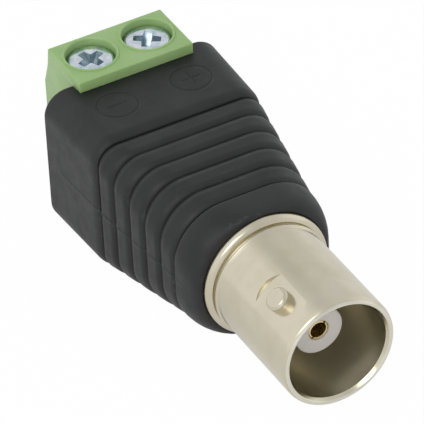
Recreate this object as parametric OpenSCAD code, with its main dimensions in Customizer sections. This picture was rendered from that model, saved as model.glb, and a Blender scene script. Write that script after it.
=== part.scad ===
// Coaxial bayonet jack on a two-way screw terminal block, in a ribbed moulded body.
// Millimetres. The origin is the centre of the jack's mouth, +Y runs back along the jack's
// axis to the terminal block, and +Z points up to the clamp screws.

/* [Moulded body] */
// Width across the rear end
body_rear_w = 15.6; // [15:0.1:16.5]
// Width that the plain section narrows to at the first groove
body_plain_w = 15.0; // [14.9:0.1:15.6]
// Height of the body's foot above the jack's axis
body_foot = -6.05; // [-6.2:0.05:-6]
// Y of the body's rear end
body_rear_y = 33; // [33:0.1:33.4]
// Y of the body's front rim
body_front_y = 11.6; // [11.5:0.05:11.8]
// Corner radius of the plain section
corner_r = 2.1; // [1.5:0.1:3]
// Length over which the plain section rounds down to the first groove
shoulder_l = 0.95; // [0.5:0.05:1.1]
// Outer radius of the front rim
rim_r = 5.54; // [5.5:0.01:5.6]

/* [Ribs] */
// Y of the first groove, next to the plain section
first_groove_y = 24.89; // [24.7:0.01:25]
// Distance from groove to groove
rib_pitch = 2.065; // [2:0.005:2.1]
// Number of ribs between the first groove and the collar
rib_count = 5; // [5:1:5]
// Depth of a groove under the ribs
groove_depth = 0.23; // [0.15:0.01:0.3]
// How flat a rib's back is, more is flatter
rib_flatness = 3; // [2:0.2:4]
// Width across the first rib
rib_w = 14.9; // [14.6:0.1:15]
// How much lower the first rib is than the plain section
rib_drop = 0.37; // [0.3:0.01:0.5]
// Corner radius of the first rib
rib_corner_r = 1.9; // [1.5:0.1:2.2]
// How far the first rib's middle sits below the plain section's
rib_sag = 0.05; // [0:0.01:0.1]
// Width across the front collar
collar_w = 12.7; // [12.4:0.1:13]
// Height across the front collar
collar_h = 11.36; // [11.3:0.01:11.6]
// Corner radius of the front collar
collar_corner_r = 4.4; // [4:0.1:5]
// Height of the collar's middle above the jack's axis
collar_lift = 0.13; // [0:0.01:0.2]
// How late the ribs lose height toward the collar, more is later
height_curve = 2.5; // [1:0.1:3]
// How soon the ribs' corners grow rounder toward the collar, less is sooner
corner_curve = 0.74; // [0.5:0.01:1]

/* [Jack] */
// Radius of the plain barrel
barrel_r = 4.83; // [4.8:0.01:4.85]
// Radius of the socket's bore
socket_r = 4.15; // [4.06:0.01:4.2]
// Depth of the socket behind the mouth
socket_depth = 6.9; // [6:0.1:7.5]
// Radius of the flange in front of the body
flange_r = 5.39; // [5.3:0.01:5.42]
// Y of the flange's front, where its shoulder starts
flange_front_y = 10.88; // [10.8:0.02:11]
// Radius of the neck pressed into the body
neck_r = 4.6; // [4.5:0.05:4.7]
// Y of the neck's rear end
neck_rear_y = 17.5; // [17:0.1:17.6]

/* [Bayonet pins] */
// Radius of each bayonet pin
pin_r = 0.95; // [0.9:0.01:1]
// Height of the pins' tips from the jack's axis
pin_tip_r = 5.45; // [5.4:0.01:5.5]
// Y of the pins
pin_y = 3.75; // [3.5:0.05:5]
// Lean of the upper pin from straight up, to the left
pin_angle = 38; // [0:1:45]
// Radius of the spot face around each pin
spot_face_r = 2.5; // [2:0.1:3]
// Height of the spot face from the jack's axis
spot_face_at = 4.66; // [4.6:0.01:4.7]

/* [Centre contact and insulators] */
// Radius of the insulator's nose
nose_r = 2.05; // [1.9:0.05:2.4]
// Y of the insulator's face
nose_front_y = 3.2; // [3:0.1:5]
// Outer radius of the contact's socket
contact_r = 0.88; // [0.85:0.01:0.95]
// Radius of the hole for the plug's pin
contact_hole_r = 0.68; // [0.66:0.01:0.7]
// Depth of the hole for the plug's pin
contact_hole_depth = 5.5; // [4:0.1:6]
// Width of the slot across the contact's mouth
contact_slot_w = 0.2; // [0.15:0.01:0.25]

/* [Terminal block] */
// Distance between the two screws
pole_pitch = 5.08; // [5:0.01:5.1]
// How far the block's top stands above the body
block_lip_h = 1; // [0.9:0.05:1.1]
// Height of the block's foot above the jack's axis
block_foot = -2.45; // [-2.5:0.05:-2.4]
// How far the block stands out behind the body
block_reach = 5.1; // [5:0.05:5.4]
// Distance of the screws behind the body's rear end
screw_reach = 1.6; // [1.6:0.05:1.7]
// Radius of a screw's well
well_r = 2.05; // [2:0.01:2.1]
// Width of the rim around a well
well_rim_w = 0.24; // [0.1:0.02:0.3]

/* [Clamp screws and cages] */
// Radius of a screw's head
head_r = 1.88; // [1.8:0.01:1.9]
// Thickness of a screw's head
head_h = 1.8; // [1.7:0.05:1.8]
// Depth of a screw's head below the block's top
head_sink = 0.4; // [0.3:0.05:0.5]
// Radius of a screw's thread
thread_r = 1.48; // [1.46:0.01:1.49]
// Radial clearance of the thread in its cage
thread_gap = 0.04; // [0.02:0.01:0.06]
// Gap between a cage and its chamber at each side
cage_gap = 0.1; // [0.08:0.01:0.12]
// Travel of a cage between open and closed
cage_travel = 1.7; // [1.5:0.05:1.7]

/* [Strips] */
// Thickness of a contact bar
bar_t = 0.6; // [0.5:0.05:0.6]
// Width of a contact bar inside its cage
bar_w = 2.6; // [2.4:0.05:2.7]
// Thickness of the linking strips
link_t = 0.4; // [0.3:0.05:0.5]
// Width of the linking strips
link_w = 1.8; // [1.6:0.05:1.8]

/* [Hidden] */
$fn = 64;
eps = 0.5;

black = "#2c2d2f";
nickel = "#cfc8b4";
green = "#96b478";
gold = "#c9a44a";
white = "#ddd8e0";
tin = "#b9bcc0";
zinc = "#c3cbd6";

// Body outline
arc_steps = 12;
last_groove_y = first_groove_y - rib_count * rib_pitch;
collar_rise = 0.3;
collar_peak_y = last_groove_y - collar_rise;
collar_lead = 0.12;
collar_lead_depth = 0.1;
rim_flat = 0.01;
rear_bevel = 0.25;
bevel_steps = [1, 0.42, 0.12, 0];
rib_steps = [0, 0.05, 0.13, 0.27, 0.5, 0.73, 0.87, 0.95];
roll_steps = [0, 15, 30, 45, 60, 75, 90];

// Body hollow
wall_gap = 0.05;
flange_sink = 0.7;
flange_gap = 0.04;
flange_seat_y = body_front_y + flange_sink;
flange_recess_r = flange_r + flange_gap;
wall_t = 1.25;
block_w = 2 * pole_pitch;
cavity_w = block_w + 2 * wall_gap;
floor_t = 1.85;
cavity_foot = body_foot + floor_t;
cavity_lead = 2.5;
cavity_lap = 2;
cavity_front_y = neck_rear_y + cavity_lead;
cavity_round_end_y = cavity_front_y + cavity_lap;
pocket_depth = 1.85;
pocket_floor_y = body_rear_y - pocket_depth;
block_step = 0.75;
block_step_y = body_rear_y - block_step;

// Body marks
mark_x = 3.3;
mark_y = 28.8;
mark_r = 1.75;
mark_line = 0.2;
mark_bar = 1.7;
mark_depth = 0.06;

// Jack profile
mouth_bevel = 0.15;
mouth_lead_r = 4.33;
mouth_lead_y = 0.35;
bead_y = 10.25;
bead_r = 4.97;
bead_w = 0.38;
bead_ease = 0.09;
relief_r = 4.72;
flange_round = 0.42;
shoulder_r = flange_r - flange_round;
bush_r = 3.4;
bush_t = 1.8;
bush_sink = 0.2;
bush_hole_r = 1.4;
bush_seat_y = neck_rear_y - bush_sink - bush_t;
insulator_r = 2.7;
insulator_step = 0.25;
insulator_neck_r = nose_r + insulator_step;
insulator_l = 3;

// Pins and contact
pin_foot_r = 4.3;
pin_bevel = 0.22;
contact_sink = 0.1;
contact_front_y = nose_front_y + contact_sink;
contact_collar_y = bush_seat_y - insulator_l;
insulator_seat_y = contact_collar_y - insulator_l;
contact_collar_r = 1.25;
contact_collar_t = 0.5;
contact_tail_r = 0.6;
contact_tail_l = 2.9;
contact_tail_y = neck_rear_y + contact_tail_l;
contact_slot_l = 3.4;
contact_slot_turn = 45;
contact_tip_bevel = 0.12;

// Block's heights, built up from its foot, and the body's and ribs' from its top
block_floor_t = 1;
cage_foot_t = 0.6;
cage_top_t = 1.2;
ledge_t = 0.75;
chamber_foot = block_foot + block_floor_t;
cage_rest = chamber_foot + wall_gap;
bar_foot = cage_rest + cage_foot_t + cage_travel + wall_gap;
cage_h = cage_foot_t + cage_travel + bar_t + cage_top_t + 2 * wall_gap;
chamber_top = cage_rest + cage_h + cage_travel + 2 * wall_gap;
ledge_z = chamber_top + ledge_t;
block_top = ledge_z + head_h + head_sink;
body_top = block_top - block_lip_h;
body_h = body_top - body_foot;
body_lift = (body_top + body_foot) / 2;
rib_h = body_h - rib_drop;
rib_lift = body_lift - rib_sag;

// Terminal block
lip_reach = 0.65;
block_lip_y = block_step_y - lip_reach;
block_rear_y = body_rear_y + block_reach;
screw_y = body_rear_y + screw_reach;
block_front_y = pocket_floor_y + wall_gap;
lip_bevel = 0.1;
slope_top_l = 1;
slope_bend_l = 0.75;
slope_bend_h = 1.65;
slope_h = 3.65;
slope_bend_z = block_top - slope_bend_h;
slope_foot_z = block_top - slope_h;
chamber_d = 3.9;
cage_w = 3.95;
cage_d = 3.6;
cage_window_w = 2.95;
chamber_w = cage_w + 2 * cage_gap;
ledge_hole_gap = 0.14;
ledge_hole_r = thread_r + ledge_hole_gap;
rim_h = 0.1;
bar_shoulder_w = 4.6;
bar_shoulder_set = 0.3;
bar_shoulder_y = block_front_y + bar_shoulder_set;
bar_shoulder_l = 0.9;
bar_tip_l = 2.4;
bar_rear_y = screw_y + bar_tip_l;
bar_nose_l = 1.15;
bar_front_y = pocket_floor_y - bar_nose_l;
bar_tail_w = 1.0;
bar_tail_gap = 0.8;
bar_tail_foot = cavity_foot + bar_tail_gap;
entry_w = 3.1;
entry_flare = 0.35;
entry_lap = 0.2;

// Screws
screw_tip_z = bar_foot + bar_t + 2 * wall_gap;
head_round = 0.3;
cross_w = 0.62;
cross_l = 2.3;
cross_depth = 0.95;
tip_bevel = 0.3;
left_screw_turn = 20;
right_screw_turn = 55;

// Strips
link_end_y = pocket_floor_y - wall_gap;
crimp_lead = 1.1;
crimp_front_y = neck_rear_y + crimp_lead;
crimp_l = 2;
crimp_r = 1.0;
crimp_lap = 0.1;
signal_neck_w = 1.4;
sleeve_t = 0.35;
sleeve_l = 3;
link_lead = 0.8;
link_bend_y = crimp_front_y + sleeve_l + link_lead;
tag_inset = 0.4;
tag_r = neck_r - tag_inset;
tag_hole_r = 2.6;
tag_tab_l = 4;
ground_link_lead = 1;
ground_link_y = neck_rear_y + ground_link_lead;

function blend(a, b, t) = a + (b - a) * t;

// How far a place along the body is through the ribs, from 0 at the first groove to 1
function ribbed(y) = min(1, max(0, (first_groove_y - y) / (first_groove_y - last_groove_y)));

// A section of the body is its place, half width, half height, corner radius and middle height
function plain_section(y, inset) =
  let (
    t = (y - first_groove_y) / (body_rear_y - first_groove_y),
    w = blend(body_plain_w, body_rear_w, t)
  )
  [y, w / 2 - inset, body_h / 2 - inset, corner_r - inset, body_lift];

function rib_section(y, inset) =
  let (
    u = ribbed(y),
    w = blend(rib_w, collar_w, u),
    h = blend(rib_h, collar_h, pow(u, height_curve)),
    r = blend(rib_corner_r, collar_corner_r, pow(u, corner_curve))
  )
  [y, w / 2 - inset, h / 2 - inset, r - inset, blend(rib_lift, collar_lift, u)];

// One section rolls over into another along a quarter of an ellipse
function rolled(from, to, angle) =
  let (s = blend(from, to, 1 - cos(angle)))
  [blend(from[0], to[0], sin(angle)), s[1], s[2], s[3], s[4]];

// The points of one section: four corner arcs joined by straight sides
function section_points(s) = [
  for (corner = [0:3])
    for (step = [0:arc_steps])
      let (
        angle = 90 * corner + 90 * step / arc_steps,
        side_x = (corner == 0 || corner == 3) ? 1 : -1,
        side_z = (corner < 2) ? 1 : -1
      )
      [
        side_x * (s[1] - s[3]) + s[3] * cos(angle),
        s[0],
        s[4] + side_z * (s[2] - s[3]) + s[3] * sin(angle)
      ]
];

shoulder_start = plain_section(first_groove_y + shoulder_l, 0);
shoulder_end = rib_section(first_groove_y, groove_depth);
collar_peak = rib_section(collar_peak_y, 0);
rim_section = [body_front_y, rim_r, rim_r, rim_r - rim_flat, 0];

body_sections = concat(
  [for (b = bevel_steps) plain_section(body_rear_y - rear_bevel * (1 - b), rear_bevel * b * b)],
  [for (angle = roll_steps) if (angle < 90) rolled(shoulder_start, shoulder_end, angle)],
  [for (rib = [0:rib_count - 1]) for (t = rib_steps)
    rib_section(
      first_groove_y - rib_pitch * (rib + t),
      groove_depth * pow(abs(2 * t - 1), rib_flatness)
    )],
  [rib_section(last_groove_y, groove_depth)],
  [rib_section(last_groove_y - collar_lead, collar_lead_depth)],
  [for (angle = roll_steps) rolled(collar_peak, rim_section, angle)]
);

module along_axis(y) {
  translate([0, y, 0]) rotate([-90, 0, 0]) children();
}

module rod(y, length, radius) {
  along_axis(y) cylinder(r = radius, h = length);
}

module turned(profile) {
  along_axis(0) rotate_extrude() polygon(profile);
}

module box(x, y, z) {
  translate([x[0], y[0], z[0]]) cube([x[1] - x[0], y[1] - y[0], z[1] - z[0]]);
}

// A radial frame at a bayonet pin: +Z points outwards
module at_pin(turn) {
  translate([0, pin_y, 0]) rotate([0, -(pin_angle + turn), 0]) children();
}

module lofted_body() {
  ring = 4 * (arc_steps + 1);
  count = len(body_sections);
  points = [for (s = body_sections) each section_points(s)];
  sides = [
    for (i = [0:count - 2])
      for (j = [0:ring - 1])
        let (k = (j + 1) % ring)
        [i * ring + j, (i + 1) * ring + j, (i + 1) * ring + k, i * ring + k]
  ];
  rear_cap = [for (j = [0:ring - 1]) j];
  front_cap = [for (j = [ring - 1:-1:0]) (count - 1) * ring + j];
  polyhedron(points = points, faces = concat(sides, [rear_cap, front_cap]), convexity = 8);
}

module polarity_mark(positive) {
  translate([positive ? mark_x : -mark_x, mark_y, body_top - mark_depth]) {
    cut_h = mark_depth + eps;
    difference() {
      cylinder(r = mark_r, h = cut_h);
      translate([0, 0, -eps]) cylinder(r = mark_r - mark_line, h = cut_h + 2 * eps);
    }
    translate([-mark_bar / 2, -mark_line / 2, 0]) cube([mark_bar, mark_line, cut_h]);
    if (positive) {
      translate([-mark_line / 2, -mark_bar / 2, 0]) cube([mark_line, mark_bar, cut_h]);
    }
  }
}

module body_shell() {
  half = cavity_w / 2;
  color(black) difference() {
    lofted_body();
    rod(body_front_y - eps, flange_seat_y - body_front_y + eps, flange_recess_r);
    rod(flange_seat_y - eps, cavity_round_end_y - flange_seat_y + eps, neck_r);
    box([-half, half], [cavity_front_y, pocket_floor_y], [cavity_foot, body_top - wall_t]);
    box([-half, half], [pocket_floor_y - eps, body_rear_y + eps], [block_foot, body_top - wall_t]);
    box([-half, half], [block_step_y - wall_gap, body_rear_y + eps], [0, body_top + eps]);
    polarity_mark(false);
    polarity_mark(true);
  }
}

module jack_shell() {
  shoulder = [
    for (a = [0:15:90])
      [
        shoulder_r + (flange_r - shoulder_r) * sin(a),
        flange_front_y + (flange_r - shoulder_r) * (1 - cos(a))
      ]
  ];
  color(nickel) difference() {
    turned(concat(
      [[mouth_lead_r, 0], [barrel_r - mouth_bevel, 0], [barrel_r, mouth_bevel]],
      [[barrel_r, bead_y], [bead_r, bead_y + bead_ease], [bead_r, bead_y + bead_w - bead_ease]],
      [[relief_r, bead_y + bead_w], [relief_r, flange_front_y]],
      shoulder,
      [[flange_r, flange_seat_y], [neck_r, flange_seat_y], [neck_r, neck_rear_y]],
      [[bush_r, neck_rear_y], [bush_r, bush_seat_y], [insulator_r, bush_seat_y]],
      [[insulator_r, insulator_seat_y], [insulator_neck_r, insulator_seat_y]],
      [[insulator_neck_r, socket_depth]],
      [[socket_r, socket_depth], [socket_r, mouth_lead_y]]
    ));
    for (turn = [0, 180]) {
      at_pin(turn) {
        translate([0, 0, spot_face_at]) cylinder(r = spot_face_r, h = barrel_r);
        translate([0, 0, pin_foot_r]) cylinder(r = pin_r, h = barrel_r);
      }
    }
  }
}

module bayonet_pin(turn) {
  color(nickel) at_pin(turn) rotate_extrude() polygon([
    [0, pin_foot_r], [pin_r, pin_foot_r], [pin_r, pin_tip_r - pin_bevel],
    [pin_r - pin_bevel, pin_tip_r], [0, pin_tip_r]
  ]);
}

module bayonet_pin_upper() {
  bayonet_pin(0);
}

module bayonet_pin_lower() {
  bayonet_pin(180);
}

module front_insulator() {
  color(white) turned([
    [contact_r, nose_front_y], [nose_r, nose_front_y], [nose_r, socket_depth],
    [insulator_neck_r, socket_depth], [insulator_neck_r, insulator_seat_y],
    [insulator_r, insulator_seat_y], [insulator_r, contact_collar_y], [contact_r, contact_collar_y]
  ]);
}

module rear_insulator() {
  collar_end_y = contact_collar_y + contact_collar_t;
  color(white) turned([
    [contact_collar_r, contact_collar_y], [insulator_r, contact_collar_y],
    [insulator_r, bush_seat_y], [contact_tail_r, bush_seat_y],
    [contact_tail_r, collar_end_y], [contact_collar_r, collar_end_y]
  ]);
}

module centre_contact() {
  collar_end_y = contact_collar_y + contact_collar_t;
  hole_end_y = contact_front_y + contact_hole_depth;
  color(gold) difference() {
    turned([
      [contact_hole_r, contact_front_y], [contact_r - contact_tip_bevel, contact_front_y],
      [contact_r, contact_front_y + contact_tip_bevel], [contact_r, contact_collar_y],
      [contact_collar_r, contact_collar_y], [contact_collar_r, collar_end_y],
      [contact_tail_r, collar_end_y], [contact_tail_r, contact_tail_y], [0, contact_tail_y],
      [0, hole_end_y], [contact_hole_r, hole_end_y]
    ]);
    rotate([0, contact_slot_turn, 0]) box(
      [-contact_slot_w / 2, contact_slot_w / 2],
      [contact_front_y - eps, contact_front_y + contact_slot_l],
      [-nose_r, nose_r]
    );
  }
}

module retaining_bush() {
  color(nickel) turned([
    [bush_hole_r, bush_seat_y], [bush_r, bush_seat_y],
    [bush_r, bush_seat_y + bush_t], [bush_hole_r, bush_seat_y + bush_t]
  ]);
}

module ground_tag() {
  inner_x = pole_pitch / 2 - link_w / 2;
  color(tin) union() {
    difference() {
      rod(neck_rear_y, link_t, tag_r);
      rod(neck_rear_y - eps, link_t + 2 * eps, tag_hole_r);
    }
    box(
      [-inner_x - link_w, -inner_x],
      [neck_rear_y, neck_rear_y + tag_tab_l],
      [link_t / 2, link_t * 1.5]
    );
  }
}

// The hole that a contact bar's tail is soldered in
module tail_hole(side) {
  middle = side * pole_pitch / 2;
  box(
    [middle - bar_tail_w / 2, middle + bar_tail_w / 2],
    [bar_front_y, bar_front_y + bar_t],
    [-link_t, link_t]
  );
}

module ground_link() {
  inner_x = pole_pitch / 2 - link_w / 2;
  color(tin) difference() {
    box([-inner_x - link_w, -inner_x], [ground_link_y, link_end_y], [-link_t / 2, link_t / 2]);
    tail_hole(-1);
  }
}

module signal_link() {
  inner_x = pole_pitch / 2 - link_w / 2;
  crimp_end_y = crimp_front_y + crimp_l;
  color(tin) difference() {
    union() {
      rod(crimp_front_y, crimp_l, crimp_r);
      box(
        [-signal_neck_w / 2, signal_neck_w / 2],
        [crimp_end_y - crimp_lap, link_bend_y + link_w],
        [-link_t / 2, link_t / 2]
      );
      box(
        [-signal_neck_w / 2, inner_x + link_w],
        [link_bend_y, link_bend_y + link_w],
        [-link_t / 2, link_t / 2]
      );
      box([inner_x, inner_x + link_w], [link_bend_y, link_end_y], [-link_t / 2, link_t / 2]);
    }
    rod(crimp_front_y - eps, contact_tail_y - crimp_front_y + eps, contact_tail_r);
    tail_hole(1);
  }
}

module link_sleeve() {
  color("#8c2f2a") difference() {
    rod(crimp_front_y, sleeve_l, crimp_r + sleeve_t);
    rod(crimp_front_y - eps, sleeve_l + 2 * eps, crimp_r);
  }
}

module block_profile() {
  polygon([
    [block_front_y, block_foot], [block_front_y, body_top - wall_t - wall_gap],
    [block_step_y, body_top - wall_t - wall_gap], [block_step_y, body_top],
    [block_lip_y, body_top], [block_lip_y, block_top - lip_bevel],
    [block_lip_y + lip_bevel, block_top], [block_rear_y - slope_top_l, block_top],
    [block_rear_y - slope_bend_l, slope_bend_z], [block_rear_y, slope_foot_z],
    [block_rear_y, block_foot]
  ]);
}

// What is cut out of the block for one pole
module pole_cuts(side) {
  middle = side * pole_pitch / 2;
  chamber_end_y = screw_y + chamber_d / 2;
  translate([middle, screw_y, ledge_z]) cylinder(r = well_r, h = block_top + rim_h + eps - ledge_z);
  translate([middle, screw_y, chamber_top - eps])
    cylinder(r = ledge_hole_r, h = ledge_z - chamber_top + 2 * eps);
  box(
    [middle - chamber_w / 2, middle + chamber_w / 2],
    [block_front_y - eps, chamber_end_y],
    [chamber_foot, chamber_top]
  );
  box(
    [middle - bar_shoulder_w / 2, middle + bar_shoulder_w / 2],
    [block_front_y - eps, bar_shoulder_y + bar_shoulder_l],
    [bar_foot, bar_foot + bar_t]
  );
  box(
    [middle - bar_w / 2, middle + bar_w / 2],
    [chamber_end_y - eps, bar_rear_y],
    [bar_foot, bar_foot + bar_t]
  );
  wire_entry(middle, chamber_end_y);
}

// A square funnel that leads a stripped wire under the contact bar
module wire_entry(middle, inner_y) {
  inner_foot = cage_rest + cage_foot_t;
  hull() {
    box(
      [middle - entry_w / 2, middle + entry_w / 2],
      [inner_y - entry_lap, inner_y],
      [inner_foot, bar_foot]
    );
    box(
      [middle - entry_w / 2 - entry_flare, middle + entry_w / 2 + entry_flare],
      [block_rear_y, block_rear_y + entry_lap],
      [inner_foot - entry_flare, bar_foot]
    );
  }
}

module terminal_housing() {
  color(green) difference() {
    union() {
      translate([-block_w / 2, 0, 0]) rotate([90, 0, 90]) linear_extrude(block_w) block_profile();
      for (side = [-1, 1]) {
        translate([side * pole_pitch / 2, screw_y, block_top - eps])
          cylinder(r = well_r + well_rim_w, h = eps + rim_h);
      }
    }
    pole_cuts(-1);
    pole_cuts(1);
  }
}

module contact_bar(side) {
  middle = side * pole_pitch / 2;
  bar_top = bar_foot + bar_t;
  color(tin) union() {
    box([middle - bar_w / 2, middle + bar_w / 2], [bar_front_y, bar_rear_y], [bar_foot, bar_top]);
    box(
      [middle - bar_shoulder_w / 2, middle + bar_shoulder_w / 2],
      [bar_shoulder_y, bar_shoulder_y + bar_shoulder_l],
      [bar_foot, bar_top]
    );
    box(
      [middle - bar_tail_w / 2, middle + bar_tail_w / 2],
      [bar_front_y, bar_front_y + bar_t],
      [bar_tail_foot, bar_top]
    );
  }
}

module contact_bar_left() {
  contact_bar(-1);
}

module contact_bar_right() {
  contact_bar(1);
}

module cage(side) {
  middle = side * pole_pitch / 2;
  color(zinc) difference() {
    box(
      [middle - cage_w / 2, middle + cage_w / 2],
      [screw_y - cage_d / 2, screw_y + cage_d / 2],
      [cage_rest, cage_rest + cage_h]
    );
    box(
      [middle - cage_window_w / 2, middle + cage_window_w / 2],
      [screw_y - cage_d, screw_y + cage_d],
      [cage_rest + cage_foot_t, cage_rest + cage_h - cage_top_t]
    );
    translate([middle, screw_y, cage_rest + cage_h - cage_top_t - eps])
      cylinder(r = thread_r + thread_gap, h = cage_top_t + 2 * eps);
  }
}

module cage_left() {
  cage(-1);
}

module cage_right() {
  cage(1);
}

module clamp_screw(side, turn) {
  head_top = ledge_z + head_h;
  rounding = [
    for (a = [0:15:90])
      [head_r - head_round * (1 - cos(a)), head_top - head_round * (1 - sin(a))]
  ];
  color(zinc) translate([side * pole_pitch / 2, screw_y, 0]) rotate([0, 0, turn]) difference() {
    rotate_extrude() polygon(concat(
      [[0, screw_tip_z], [thread_r - tip_bevel, screw_tip_z], [thread_r, screw_tip_z + tip_bevel]],
      [[thread_r, ledge_z], [head_r, ledge_z]],
      rounding,
      [[0, head_top]]
    ));
    for (blade = [0, 90]) {
      rotate([0, 0, blade]) box(
        [-cross_l / 2, cross_l / 2],
        [-cross_w / 2, cross_w / 2],
        [head_top - cross_depth, head_top + eps]
      );
    }
  }
}

module screw_left() {
  clamp_screw(-1, left_screw_turn);
}

module screw_right() {
  clamp_screw(1, right_screw_turn);
}

body_shell();
jack_shell();
bayonet_pin_upper();
bayonet_pin_lower();
front_insulator();
rear_insulator();
centre_contact();
retaining_bush();
ground_tag();
ground_link();
signal_link();
link_sleeve();
terminal_housing();
contact_bar_left();
contact_bar_right();
cage_left();
cage_right();
screw_left();
screw_right();
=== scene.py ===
"""Dresses the coaxial screw terminal adapter in its moulded, plated and stamped finishes.

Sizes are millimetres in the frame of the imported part: the jack's mouth is at the origin, +Y
runs back along its axis to the terminal block, and +Z points up to the clamp screws.
"""

import logging
import math
from collections.abc import Callable
from dataclasses import dataclass
from enum import Enum

import bmesh
import bpy
from mathutils import Matrix, Vector, noise


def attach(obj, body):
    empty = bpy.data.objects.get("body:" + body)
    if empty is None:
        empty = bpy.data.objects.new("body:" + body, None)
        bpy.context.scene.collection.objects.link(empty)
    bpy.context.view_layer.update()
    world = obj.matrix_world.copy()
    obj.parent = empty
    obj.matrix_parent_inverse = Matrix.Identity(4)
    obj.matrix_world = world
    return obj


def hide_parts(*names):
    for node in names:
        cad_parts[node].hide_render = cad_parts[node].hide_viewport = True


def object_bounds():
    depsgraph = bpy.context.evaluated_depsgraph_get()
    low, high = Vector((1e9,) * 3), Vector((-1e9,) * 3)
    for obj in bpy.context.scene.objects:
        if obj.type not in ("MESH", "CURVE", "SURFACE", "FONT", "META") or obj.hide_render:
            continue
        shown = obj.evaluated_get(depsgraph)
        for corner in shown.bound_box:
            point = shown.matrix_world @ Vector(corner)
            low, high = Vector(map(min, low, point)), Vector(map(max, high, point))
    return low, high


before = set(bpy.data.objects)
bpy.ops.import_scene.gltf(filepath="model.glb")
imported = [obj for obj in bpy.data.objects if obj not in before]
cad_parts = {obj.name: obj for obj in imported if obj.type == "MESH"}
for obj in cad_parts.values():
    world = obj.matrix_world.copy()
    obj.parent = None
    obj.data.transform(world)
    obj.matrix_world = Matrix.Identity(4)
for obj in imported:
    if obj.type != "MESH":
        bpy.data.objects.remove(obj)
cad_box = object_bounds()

log = logging.getLogger("adapter")

MM = 0.001
TINY = 1e-6
FIXED_BODY = "adapter"

Flat = tuple[float, float]
Spot = tuple[float, float, float]
Section = tuple[float, float, float, float, float]


class Side(Enum):
    """The two poles of the block, as seen from above with the jack in front."""

    LEFT = -1
    RIGHT = 1


class Mark(Enum):
    """The polarity signs moulded into the body's top."""

    MINUS = -1
    PLUS = 1


class Edges(Enum):
    """The angle in degrees above which an edge stays crisp."""

    TURNED = 28
    MOULDED = 35
    ALL_SOFT = 80


# Mesh helpers


def link_mesh(name: str, points: list[Spot], faces: list[list[int]]) -> bpy.types.Object:
    """Makes an object from points in millimetres.

    Args:
        name: The object's name.
        points: The corners, in millimetres.
        faces: Lists of corner numbers.

    Returns:
        The new object, linked to the scene, with its place in its mesh.
    """
    mesh = bpy.data.meshes.new(name)
    mesh.from_pydata([(x * MM, y * MM, z * MM) for x, y, z in points], [], faces)
    mesh.validate()
    made = bpy.data.objects.new(name, mesh)
    bpy.context.scene.collection.objects.link(made)
    tidy = bmesh.new()
    tidy.from_mesh(mesh)
    bmesh.ops.recalc_face_normals(tidy, faces=tidy.faces)
    tidy.to_mesh(mesh)
    tidy.free()
    return made


def soft_corners(outline: list[tuple[float, float, float]], steps: int = 4) -> list[Flat]:
    """Rounds the corners of a closed outline.

    Args:
        outline: Corners as (across, along, radius).
        steps: How many short lines make each rounding.

    Returns:
        The outline's points, with a curve in place of each corner that has a radius.
    """
    points: list[Flat] = []
    count = len(outline)
    for index, (x, y, radius) in enumerate(outline):
        here = Vector((x, y))
        if radius < TINY:
            points.append((x, y))
            continue
        before = Vector(outline[index - 1][:2]) - here
        after = Vector(outline[(index + 1) % count][:2]) - here
        reach = min(radius, before.length * 0.5, after.length * 0.5)
        start = here + before.normalized() * reach
        end = here + after.normalized() * reach
        for step in range(steps + 1):
            t = step / steps
            spot = start * (1 - t) ** 2 + here * 2 * t * (1 - t) + end * t * t
            points.append((spot.x, spot.y))
    return points


def turned(name: str, profile: list[Flat], segments: int = 160) -> bpy.types.Object:
    """Turns a closed profile about the Y axis.

    Args:
        name: The object's name.
        profile: Points as (radius, y), in millimetres, going round the section.
        segments: Steps round the axis.

    Returns:
        The turned solid.
    """
    points: list[Spot] = []
    rings: list[list[int]] = []
    for radius, y in profile:
        steps = 1 if radius < TINY else segments
        ring = []
        for step in range(steps):
            angle = math.tau * step / steps
            ring.append(len(points))
            points.append((radius * math.sin(angle), y, radius * math.cos(angle)))
        rings.append(ring)
    faces: list[list[int]] = []
    for index, ring in enumerate(rings):
        other = rings[(index + 1) % len(rings)]
        for step in range(segments):
            corners = [
                ring[step % len(ring)],
                ring[(step + 1) % len(ring)],
                other[(step + 1) % len(other)],
                other[step % len(other)],
            ]
            distinct = list(dict.fromkeys(corners))
            if len(distinct) > 2:
                faces.append(distinct)
    return link_mesh(name, points, faces)


def extruded(name: str, outline: list[Flat], x_from: float, x_to: float) -> bpy.types.Object:
    """Extrudes a closed outline along X.

    Args:
        name: The object's name.
        outline: Points as (y, z), in millimetres.
        x_from: Where the solid starts.
        x_to: Where it ends.

    Returns:
        The extruded solid.
    """
    count = len(outline)
    points = [(x, y, z) for x in (x_from, x_to) for y, z in outline]
    faces = [
        [i, (i + 1) % count, count + (i + 1) % count, count + i] for i in range(count)
    ]
    faces.append(list(range(count)))
    faces.append(list(range(count, 2 * count)))
    return link_mesh(name, points, faces)


def block(name: str, low: Spot, high: Spot) -> bpy.types.Object:
    """Makes a box between two corners, in millimetres."""
    outline = [(low[1], low[2]), (high[1], low[2]), (high[1], high[2]), (low[1], high[2])]
    return extruded(name, outline, low[0], high[0])


def upright(name: str, profile: list[Flat], x: float, y: float, segments: int = 96) -> bpy.types.Object:
    """Turns a closed profile of (radius, z) about a vertical line at x, y."""
    made = turned(name, profile, segments)
    stand = Matrix.Translation((x * MM, y * MM, 0)) @ Matrix.Rotation(math.pi / 2, 4, "X")
    made.data.transform(stand)
    return made


def settle(made: bpy.types.Object) -> None:
    """Applies an object's modifiers to its mesh."""
    bpy.context.view_layer.update()
    graph = bpy.context.evaluated_depsgraph_get()
    mesh = bpy.data.meshes.new_from_object(made.evaluated_get(graph))
    made.modifiers.clear()
    made.data = mesh


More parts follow.
